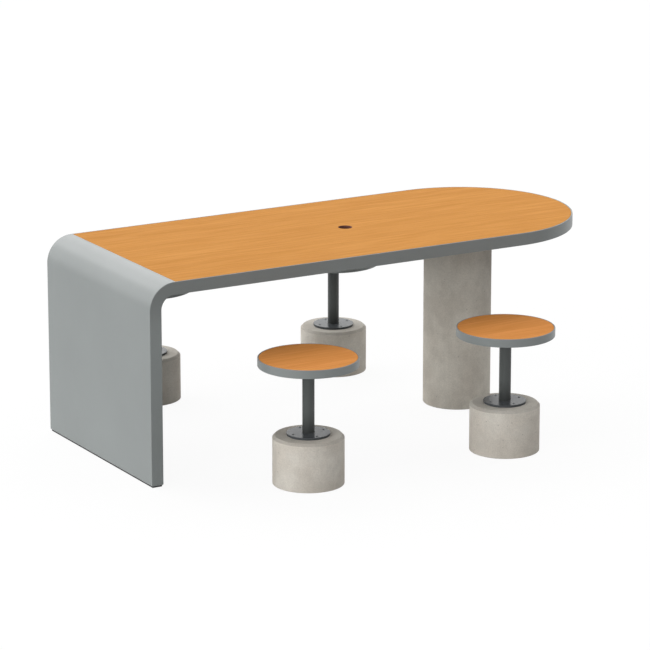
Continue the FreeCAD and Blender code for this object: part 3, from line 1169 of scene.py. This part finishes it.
@dataclass
class Casing:
    """The coated sheet-metal casing: slab rim, soffit, bend and leg panel, welded into one shell."""

    finishes: Finishes
    bend_inner_radius: float = 0.050
    skin: float = 0.004
    lip: float = 0.004
    foot_corner: float = 0.004
    foot_bar: float = 0.016
    arris: float = 0.0018
    bend_steps: int = 30
    hole_steps: int = 64
    sleeve_gap: float = 0.0002
    nodes: tuple[str, ...] = (
        "waterfall_skin",
        "panel_lining",
        "soffit_sheet",
        "front_cheek",
        "back_cheek",
        "round_end_band",
        "foot_bar",
    )
    hidden_nodes: tuple[str, ...] = ("inlay_deck", "slab_ribs", "panel_ribs", "slab_boss_plate")

    def __post_init__(self) -> None:
        """Take the casing's levels and places from the frame."""
        cheek, band = NodeBox("front_cheek"), NodeBox("round_end_band")
        self.panel_x = cheek.low.x
        self.half_width = band.high.y
        self.rim = cheek.high.y - cheek.low.y
        self.top = band.high.z
        self.foot = cheek.low.z
        self.end_centre_x = cheek.high.x
        self.thickness = self.top - band.low.z
        self.bend_x = NodeBox("inlay_deck").low.x
        self.recess_x = NodeBox("waterfall_skin").high.x
        self.deck_top = NodeBox("top_inlay").low.z

    def _bend(self, radius: float) -> list[Point]:
        """Make a quarter turn about the bend's centre.

        Args:
            radius: The turn's radius.

        Returns:
            The turn's points in the XZ plane, from the panel up to the slab.
        """
        centre_z = self.top - self.bend_inner_radius - self.thickness
        angles = [math.pi / 2 * step / self.bend_steps for step in range(self.bend_steps + 1)]
        return [(self.bend_x - radius * math.cos(a), centre_z + radius * math.sin(a)) for a in angles]

    def _outer_path(self) -> list[Point]:
        """Make the outer surface's path.

        Returns:
            Its points, from the slab's top round the panel to the soffit.
        """
        outside = self._bend(self.bend_inner_radius + self.thickness)[::-1]
        inside = self._bend(self.bend_inner_radius)
        sides = (self.panel_x, self.panel_x + self.thickness)
        foot = [Corner(x, self.foot, self.foot_corner) for x in sides]
        panel = rounded_outline([Corner(*outside[-1]), *foot, Corner(*inside[0])])
        return outside[:-1] + panel[:-1] + inside

    def _inner_path(self) -> list[Point]:
        """Make the hollow's path.

        Returns:
            Its points, from the lip's top edge round the panel to the floor of the slab.
        """
        floor = self.foot + self.foot_bar
        lip_x = self.recess_x - self.lip
        lip = [(self.recess_x, self.top), (self.recess_x, self.deck_top), (lip_x, self.deck_top)]
        lip.append((lip_x, self.top - self.skin))
        outside = self._bend(self.bend_inner_radius + self.thickness - self.skin)[::-1]
        inside = self._bend(self.bend_inner_radius + self.skin)
        return lip + outside + [(outside[-1][0], floor), (inside[0][0], floor)] + inside

    def _half_shell(self, bm: BMesh, path: Sequence[Point], half_width: float) -> tuple[Loop, Loop]:
        """Add one of the shell's two surfaces.

        Args:
            bm: The mesh.
            path: The surface's path in the XZ plane, from its top edge to its floor.
            half_width: Half of its width.

        Returns:
            The loop of its top edge, and the loop of the parasol hole in its floor.
        """
        plan = SlabPlan(path[0][0], half_width, self.end_centre_x)
        front = [bm.verts.new((x, -half_width, z)) for x, z in path]
        back = [bm.verts.new((x, half_width, z)) for x, z in path]
        end_x, floor = path[-1]
        middle = bm.verts.new((end_x, 0, floor))
        top_end = loop_of(bm, plan.round_end(), self.top)
        low_end = loop_of(bm, plan.round_end(), floor)
        last = len(path) - 2
        for step in range(last + 1):
            corners = [front[step], front[step + 1], back[step + 1], back[step]]
            if step == last:
                corners.insert(2, middle)
            bm.faces.new(corners)
        bm.faces.new([*front, low_end[0], top_end[0]])
        bm.faces.new([*back, low_end[-1], top_end[-1]])
        for step in range(plan.steps):
            bm.faces.new((low_end[step], low_end[step + 1], top_end[step + 1], top_end[step]))
        sleeve = NodeBox("parasol_sleeve")
        edge = circle_points(sleeve.centre, sleeve.half.x + self.sleeve_gap, self.hole_steps)
        hole = loop_of(bm, edge, floor)
        holed_face(bm, [front[-1], *low_end, back[-1], middle], hole)
        return [front[0], *top_end, back[0]], hole

    def _build(self, bm: BMesh) -> None:
        """Add the outer surface, the hollow, and the rim and hole that join them.

        Args:
            bm: The mesh.
        """
        outer_rim, outer_hole = self._half_shell(bm, self._outer_path(), self.half_width)
        inner_rim, inner_hole = self._half_shell(bm, self._inner_path(), self.half_width - self.rim)
        wall(bm, outer_rim, inner_rim)
        wall(bm, outer_hole, inner_hole)

    def make(self) -> None:
        """Build the shell and the strip under it, and dress the pieces inside."""
        shell = smoothed(mesh_from("casing_shell", self._build), self.arris)
        fitted(shell, self.nodes, [self.finishes.casing])
        repaint("parasol_sleeve", self.finishes.casing)
        for node in self.hidden_nodes:
            repaint(node, self.finishes.inner)
        box = NodeBox("foot_strip")
        strip = flat_plate("rubber_foot", box, box.corners())
        fitted(strip, ["foot_strip"], [self.finishes.rubber])


@dataclass
class TopBoard:
    """The wood-look board let into the slab, with its round hole."""

    finishes: Finishes
    arris: float = 0.0014
    hole_steps: int = 64
    sleeve_wall: float = 0.003

    def _build(self, bm: BMesh) -> None:
        """Add the two faces, the edge and the hole, whose wall is the core's.

        Args:
            bm: The mesh.
        """
        low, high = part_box("top_inlay")
        sleeve = NodeBox("parasol_sleeve")
        plan = SlabPlan(low.x, high.y, high.x - high.y)
        edge = [(low.x, -plan.half_width), *plan.round_end(), (low.x, plan.half_width), (low.x, 0.0)]
        opening = circle_points(sleeve.centre, sleeve.half.x - self.sleeve_wall, self.hole_steps)
        outers, holes = [], []
        for z in (low.z, high.z):
            outers.append(loop_of(bm, edge, z))
            holes.append(loop_of(bm, opening, z))
            holed_face(bm, outers[-1], holes[-1])
        wall(bm, *outers)
        before = set(bm.faces)
        wall(bm, *holes)
        for face in set(bm.faces) - before:
            face.material_index = 1

    def make(self) -> None:
        """Build the board, with a dark core in its hole and deeper-toned edges."""
        board = smoothed(mesh_from("top_board", self._build), self.arris, finish=2)
        materials = [self.finishes.board, self.finishes.core, self.finishes.board_edge]
        fitted(board, ["top_inlay"], materials)


class Grower:
    """Geometry Nodes trees for what repeats or follows a path, and the pieces that they make."""

    def __init__(self) -> None:
        """Build each tree once."""
        self.head_ring = self._head_ring()
        self.bead = self._weld_bead()
        self.rolled_pan = self._rolled_pan()

    @staticmethod
    def grow(
        name: str, tree: Tree, values: dict[str, object], seed: Build = lambda bm: None
    ) -> Object:
        """Make a plain mesh with a tree.

        Args:
            name: The object's name.
            tree: The Geometry Nodes tree.
            values: A value for each of its inputs, by the input's name.
            seed: Fills the mesh that the tree starts from, where it starts from one.

        Returns:
            The object, without the modifier.
        """
        piece = mesh_from(name, seed)
        build = piece.modifiers.new("build", "NODES")
        build.node_group = tree
        for item in tree.interface.items_tree:
            if item.item_type == "SOCKET" and item.in_out == "INPUT" and item.name in values:
                build[item.identifier] = values[item.name]
        plain_mesh(piece)
        return piece

    def heads(self, name: str, ring: HeadRing, centre: Vector, finish: Material) -> Object:
        """Make a ring of fastener heads.

        Args:
            name: The object's name.
            ring: The heads and their ring.
            centre: The ring's centre, on the face that the heads stand on.
            finish: Their material.

        Returns:
            The object.
        """
        values = {"Count": ring.count, "Ring Radius": ring.radius, "First Angle": ring.first_angle}
        values.update({"Centre": centre, "Flip": Vector(ring.flip), "Finish": finish})
        return self.grow(name, self.head_ring, values, ring.head.build)

    @staticmethod
    def _finished(sheet: GroupSheet, shape: Socket, place: dict[str, Socket], finish: Socket) -> Tree:
        """End a tree with its shape in its place, as real geometry in its finish.

        Args:
            sheet: The tree's sheet.
            shape: The geometry to put out.
            place: The sockets for its Translation, and for its Rotation where it turns.
            finish: The material's socket.

        Returns:
            The finished tree.
        """
        placed = sheet.take("GeometryNodeTransform", {"Geometry": shape, **place})
        real = sheet.take("GeometryNodeRealizeInstances", {"Geometry": placed})
        return sheet.give(sheet.take("GeometryNodeSetMaterial", {"Geometry": real, "Material": finish}))

    def _head_ring(self) -> Tree:
        """Build a ring of fastener heads, each turned by its own angle.

        Returns:
            The tree. It starts from a mesh of one head that stands on Z = 0 and points up.
        """
        inputs = {"Head": Pin.GEOMETRY, "Count": 4, "Ring Radius": 0.06, "First Angle": 0.0}
        inputs.update({"Own Turn": 1.9, "Centre": Pin.VECTOR, "Flip": Pin.VECTOR, "Finish": Pin.MATERIAL})
        sheet = GroupSheet("ring of heads", TreeKind.GEOMETRY, inputs, ["Geometry"])
        head, count, radius, first_angle, own_turn, centre, flip, finish = sheet.given
        circle = {"Vertices": count, "Radius": radius}
        spots = sheet.take("GeometryNodeMeshCircle", circle, fill_type="NONE")
        around = sheet.take("ShaderNodeCombineXYZ", {"Z": first_angle})
        spots = sheet.take("GeometryNodeTransform", {"Geometry": spots, "Rotation": around})
        turn = sheet.times(sheet.take("GeometryNodeInputIndex"), own_turn)
        heads = {"Points": spots, "Instance": head}
        heads["Rotation"] = sheet.take("ShaderNodeCombineXYZ", {"Z": turn})
        ring = sheet.take("GeometryNodeInstanceOnPoints", heads)
        return self._finished(sheet, ring, {"Translation": centre, "Rotation": flip}, finish)

    def _weld_bead(self) -> Tree:
        """Build a weld bead round a tube: a closed tube along a circle, rippled along its length.

        Returns:
            The tree.
        """
        runs_per_ripple = 4
        section_runs = 10
        inputs = {"Path Radius": 0.021, "Bead Radius": 0.003, "Ripples": 50, "Ripple Depth": 0.1}
        inputs.update({"Centre": Pin.VECTOR, "Finish": Pin.MATERIAL})
        sheet = GroupSheet("weld bead", TreeKind.GEOMETRY, inputs, ["Geometry"])
        path_radius, bead_radius, ripples, depth, centre, finish = sheet.given
        circle = "GeometryNodeCurvePrimitiveCircle"
        runs = sheet.times(ripples, runs_per_ripple)
        path = sheet.take(circle, {"Resolution": runs, "Radius": path_radius})
        phase = sheet.times(sheet.take("GeometryNodeInputIndex"), 2 * math.pi / runs_per_ripple)
        width = sheet.math("ADD", sheet.times(sheet.math("SINE", phase), depth), 1.0)
        section = sheet.take(circle, {"Resolution": section_runs, "Radius": bead_radius})
        values = {"Curve": path, "Profile Curve": section, "Scale": width}
        bead = sheet.take("GeometryNodeCurveToMesh", values)
        return self._finished(sheet, bead, {"Translation": centre}, finish)

    def _rolled_pan(self) -> Tree:
        """Build a seat pan: a flat bar rolled to a ring, with a round floor let into it.

        Returns:
            The tree.
        """
        steps = 192
        arris_steps = 4
        seam = 0.0003
        inputs = {"Radius": 0.175, "Height": 0.03, "Wall": 0.0045, "Arris": 0.0015, "Floor": 0.004}
        inputs.update({"Centre": Pin.VECTOR, "Finish": Pin.MATERIAL})
        sheet = GroupSheet("rolled pan", TreeKind.GEOMETRY, inputs, ["Geometry"])
        radius, height, bar, arris, thickness, centre, finish = sheet.given
        middle = sheet.math("SUBTRACT", radius, sheet.times(bar, 0.5))
        path = sheet.take("GeometryNodeCurvePrimitiveCircle", {"Resolution": steps, "Radius": middle})
        section = sheet.take("GeometryNodeCurvePrimitiveQuadrilateral", {"Width": bar, "Height": height})
        rounding = {"Curve": section, "Radius": arris, "Count": arris_steps}
        section = sheet.take("GeometryNodeFilletCurve", rounding, mode="POLY")
        ring = sheet.take("GeometryNodeCurveToMesh", {"Curve": path, "Profile Curve": section})
        disc = {"Vertices": steps, "Radius": middle, "Depth": thickness}
        floor = sheet.take("GeometryNodeMeshCylinder", disc)
        level = sheet.math("ADD", sheet.times(height, -0.5), sheet.times(thickness, 0.5))
        lift = sheet.take("ShaderNodeCombineXYZ", {"Z": sheet.math("ADD", level, seam)})
        floor = sheet.take("GeometryNodeTransform", {"Geometry": floor, "Translation": lift})
        both = sheet.add("GeometryNodeJoinGeometry")
        for shape in (ring, floor):
            sheet.put(shape, both.inputs[0])
        return self._finished(sheet, both.outputs[0], {"Translation": centre}, finish)


@dataclass
class CastCylinder:
    """A cast concrete cylinder whose side is very slightly uneven, as a mould leaves it."""

    name: str
    node: str
    finish: Material
    arris: float
    top_chamfer: float = 0.0
    segments: int = 144
    ring_pitch: float = 0.012
    unevenness: float = 0.0003
    waves_per_metre: float = 14.0

    def make(self) -> None:
        """Build the cylinder from its node's box and move its side in and out a little."""
        box = NodeBox(self.node)
        radius, top = box.half.x, box.high.z
        rim = [Corner(radius, top, self.arris)]
        if self.top_chamfer > 0:
            rim = [Corner(radius, top - self.top_chamfer, self.arris)]
            rim.append(Corner(radius - self.top_chamfer, top, self.arris))
        corners = [Corner(0, box.low.z), Corner(radius, box.low.z, self.arris), *rim, Corner(0, top)]
        outline = divided(rounded_outline(corners), self.ring_pitch)
        piece = mesh_from(self.name, Turning(box.centre, outline, self.segments).build)
        for vertex in piece.data.vertices:
            spoke = vertex.co - box.at(vertex.co.z)
            if spoke.length > radius / 2:
                wave = noise.noise(vertex.co * self.waves_per_metre)
                vertex.co -= spoke.normalized() * self.unevenness * (wave + 1) / 2
        fitted(smoothed(piece), [self.node], [self.finish])


@dataclass
class Pedestal:
    """The concrete column and the steel plate bolted between it and the slab."""

    finishes: Finishes
    grower: Grower
    column_arris: float = 0.004
    plate_arris: float = 0.001
    bolt: HexagonHead = HexagonHead(radius=0.0075, height=0.0055, washer_radius=0.0105)

    def make(self) -> None:
        """Build the column, its head plate and the bolts under the plate."""
        column = self.finishes.column
        CastCylinder("concrete_column", "pedestal_column", column, self.column_arris).make()
        repaint("pedestal_anchor_tube", self.finishes.inner)
        box = NodeBox("pedestal_head_plate")
        plate = round_plate("head_plate", box, box.half.y, (self.plate_arris, self.plate_arris))
        fitted(plate, ["pedestal_head_plate"], [self.finishes.flange])
        reach = NodeBox("slab_bolts").half.y - self.bolt.radius * math.cos(math.pi / 6)
        ring = HeadRing(self.bolt, reach * math.sqrt(2), math.pi / 4, UPSIDE_DOWN)
        bolts = self.grower.heads("slab_bolt_heads", ring, box.at(box.low.z), self.finishes.bolt)
        fitted(bolts, ["slab_bolts"])


@dataclass
class Stool:
    """One stool: cast base, flange with its screws, post, and a round seat."""

    finishes: Finishes
    grower: Grower
    place: StoolPlace
    base_arris: float = 0.002
    base_chamfer: float = 0.009
    flange_arris: float = 0.0009
    flange_screws: HeadRing = HeadRing(DomedHead(radius=0.0046, height=0.0016, key_radius=0.0018), 0.060)
    seat_screws: HeadRing = HeadRing(
        HexagonHead(radius=0.0055, height=0.004, washer_radius=0.0075), 0.063, math.pi / 4, UPSIDE_DOWN
    )
    post_segments: int = 72
    post_pitch: float = 0.05
    post_arris: float = 0.0003
    weld_radius: float = 0.0011
    plate_corner: float = 0.012
    rim_wall: float = 0.0045
    rim_arris: float = 0.0021
    pan_floor: float = 0.004
    board_segments: int = 192
    board_arris: float = 0.0014

    def node(self, piece: str) -> str:
        """Return the name of one of this stool's nodes."""
        return f"{self.place.value}_{piece}"

    def name(self, piece: str) -> str:
        """Return the name of one of this stool's visible pieces."""
        return f"{self.place.value}_stool_{piece}"

    def make(self) -> None:
        """Build and dress the stool from the floor up."""
        name, node, base = self.name("concrete"), self.node("base"), self.finishes.base
        CastCylinder(name, node, base, self.base_arris, self.base_chamfer).make()
        self._make_flange()
        self._make_post()
        self._make_seat_plate()
        self._make_pan()
        self._make_board()
        repaint(self.node("seat_spider"), self.finishes.inner)

    def _make_flange(self) -> None:
        """Build the flange, and the ring of domed screws on it."""
        box, finish = NodeBox(self.node("flange")), self.finishes.flange
        arrises = (self.flange_arris / 2, self.flange_arris)
        flange = round_plate(self.name("flange"), box, box.half.x, arrises)
        fitted(flange, [self.node("flange")], [finish])
        name, centre = self.name("flange_screws"), box.at(box.high.z)
        fitted(self.grower.heads(name, self.flange_screws, centre, finish))

    def _make_post(self) -> None:
        """Build the post, and its weld beads at flange and seat plate."""
        box = NodeBox(self.node("post"))
        low, high, radius = box.low.z, box.high.z, box.half.x
        outline = divided([(0, low), (radius, low), (radius, high), (0, high)], self.post_pitch)
        post = Turning(box.centre, outline, self.post_segments).piece(self.name("post"), self.post_arris)
        fitted(post, [self.node("post")], [self.finishes.post])
        values = {"Path Radius": radius, "Bead Radius": self.weld_radius, "Finish": self.finishes.post}
        for level, z in (("low", low), ("high", high)):
            values["Centre"] = box.at(z)
            bead = self.grower.grow(self.name(f"{level}_weld"), self.grower.bead, values)
            for polygon in bead.data.polygons:
                polygon.use_smooth = True
            fitted(bead)

    def _make_seat_plate(self) -> None:
        """Build the plate under the seat with its rounded corners, and the screws through it."""
        box = NodeBox(self.node("seat_plate"))
        seam = Corner(box.low.x, box.centre.y)
        rounded = [Corner(x, y, self.plate_corner) for x, y in box.corners()]
        plate = flat_plate(self.name("seat_plate"), box, rounded_outline([seam, *rounded, seam])[:-1])
        fitted(plate, [self.node("seat_plate")], [self.finishes.post])
        name, centre = self.name("seat_screws"), box.at(box.low.z)
        fitted(self.grower.heads(name, self.seat_screws, centre, self.finishes.bolt))

    def _make_pan(self) -> None:
        """Build the seat's pan: its rolled rim and its floor."""
        box = NodeBox(self.node("seat_pan"))
        values = {
            "Radius": box.half.x,
            "Height": box.high.z - box.low.z,
            "Wall": self.rim_wall,
            "Arris": self.rim_arris,
            "Floor": self.pan_floor,
            "Centre": box.centre,
            "Finish": self.finishes.seat_rim,
        }
        pan = self.grower.grow(self.name("seat_pan"), self.grower.rolled_pan, values)
        fitted(smoothed(pan), [self.node("seat_pan")])

    def _make_board(self) -> None:
        """Build the seat's round board."""
        box = NodeBox(self.node("seat_inlay"))
        low, high, radius = box.low.z, box.high.z, box.half.y
        outline = [(0, low), (radius, low), (radius, high), (0, high)]
        turned = Turning(box.centre, outline, self.board_segments)
        board = turned.piece(self.name("seat_board"), self.board_arris, finish=1)
        materials = [self.finishes.seat_board, self.finishes.board_edge]
        fitted(board, [self.node("seat_inlay")], materials)


@dataclass(frozen=True)
class Lamp:
    """A soft distant lamp, mirrored in glossy surfaces or not. Its spread is in degrees."""

    name: str
    towards: tuple[float, float, float]
    strength: float
    spread: float = 60.0
    mirrored: bool = True

    def make(self) -> None:
        """Add the lamp, which shines along its direction."""
        data = bpy.data.lights.new(self.name, "SUN")
        data.energy = self.strength
        data.angle = math.radians(self.spread)
        lamp = bpy.data.objects.new(self.name, data)
        lamp.rotation_euler = Vector(self.towards).to_track_quat(*DOWN_THE_LINE).to_euler()
        lamp.visible_glossy = self.mirrored
        bpy.context.scene.collection.objects.link(lamp)


def seen_directly(sheet: Sheet) -> Socket:
    """Tell rays that show a surface from rays that light one.

    Args:
        sheet: The tree of the floor or the world.

    Returns:
        1 for camera, glossy and transmission rays, and 0 for others.
    """
    rays = sheet.add("ShaderNodeLightPath").outputs
    seen = sheet.math("MAXIMUM", rays["Is Camera Ray"], rays["Is Glossy Ray"])
    return sheet.math("MAXIMUM", seen, rays["Is Transmission Ray"])


@dataclass
class Studio:
    """Pale floor, white backdrop, soft lamps and the photograph's camera."""

    lamps: tuple[Lamp, ...] = (
        Lamp("front_left_key", (1.0, 0.5, -0.1), 1.33, spread=40.0, mirrored=False),
        Lamp("front_left_wash", (1.0, 0.45, -0.25), 0.82, mirrored=False),
        Lamp("left_fill", (1.0, -0.5, -0.35), 1.02, spread=70.0, mirrored=False),
        Lamp("right_fill", (-0.8, 0.1, -0.7), 0.92),
        Lamp("back_glow", (-0.2, -0.84, -0.8), 1.53),
        Lamp("back_left_glow", (0.6, -0.7, -0.5), 1.07),
    )
    camera_place: Vector = field(default_factory=lambda: Vector((-6.4824, -11.2173, 3.8447)))
    camera_target: Vector = field(default_factory=lambda: Vector((-0.0260, 0.0164, 0.3607)))
    focal_length: float = 205.16
    sensor_width: float = 36.0
    floor_half_size: float = 60.0
    ambient: float = 0.26
    floor_bounce: float = 0.5
    floor_seen: float = 0.95
    shadow_share: float = 0.07

    def make(self) -> None:
        """Build the whole studio."""
        self._make_floor()
        self._make_world()
        for lamp in self.lamps:
            lamp.make()
        self._make_camera()
        bpy.context.scene.view_settings.view_transform = "Standard"

    def _make_floor(self) -> None:
        """Build the floor: white to the camera, with a soft part of the object's shadow."""
        size = self.floor_half_size
        edge = [(-size, -size), (size, -size), (size, size), (-size, size)]
        floor = mesh_from("studio_floor", lambda bm: bm.faces.new(loop_of(bm, edge, 0.0)))
        material = bpy.data.materials.new("studio white")
        material.use_nodes = True
        material.node_tree.nodes.clear()
        sheet = Sheet(material.node_tree)
        seen = seen_directly(sheet)
        greys = [opaque((value, value, value)) for value in (self.floor_bounce, self.floor_seen)]
        matt = sheet.take("ShaderNodeBsdfDiffuse", {"Color": sheet.blend(seen, *greys)})
        glow = sheet.take("ShaderNodeEmission", {"Color": WHITE, "Strength": 1.0})
        share = sheet.times(seen, 1.0 - self.shadow_share)
        mixed = sheet.take("ShaderNodeMixShader", {0: share, 1: matt, 2: glow})
        sheet.add("ShaderNodeOutputMaterial", {"Surface": mixed})
        floor.data.materials.append(material)

    def _make_world(self) -> None:
        """Light the scene evenly, and show white behind it."""
        world = bpy.data.worlds.new("studio")
        bpy.context.scene.world = world
        world.use_nodes = True
        world.node_tree.nodes.clear()
        sheet = Sheet(world.node_tree)
        light = sheet.take("ShaderNodeBackground", {"Color": WHITE, "Strength": self.ambient})
        white = sheet.take("ShaderNodeBackground", {"Color": WHITE, "Strength": 1.0})
        mixed = sheet.take("ShaderNodeMixShader", {0: seen_directly(sheet), 1: light, 2: white})
        sheet.add("ShaderNodeOutputWorld", {"Surface": mixed})

    def _make_camera(self) -> None:
        """Place the camera where the photograph was taken from."""
        data = bpy.data.cameras.new("photograph_camera")
        data.lens = self.focal_length
        data.sensor_width = self.sensor_width
        data.sensor_fit = "HORIZONTAL"
        data.clip_end = 4 * self.floor_half_size
        camera = bpy.data.objects.new("photograph_camera", data)
        camera.location = self.camera_place
        view = self.camera_target - self.camera_place
        camera.rotation_euler = view.to_track_quat(*DOWN_THE_LINE).to_euler()
        bpy.context.scene.collection.objects.link(camera)
        bpy.context.scene.camera = camera


def main() -> None:
    """Build the set from the casing to the stools, and the studio round it."""
    logging.basicConfig(level=logging.INFO, format="%(message)s")
    finishes = Finishes()
    grower = Grower()
    Casing(finishes).make()
    TopBoard(finishes).make()
    Pedestal(finishes, grower).make()
    for place in StoolPlace:
        Stool(finishes, grower, place).make()
    Studio().make()


if __name__ == "__main__":
    main()
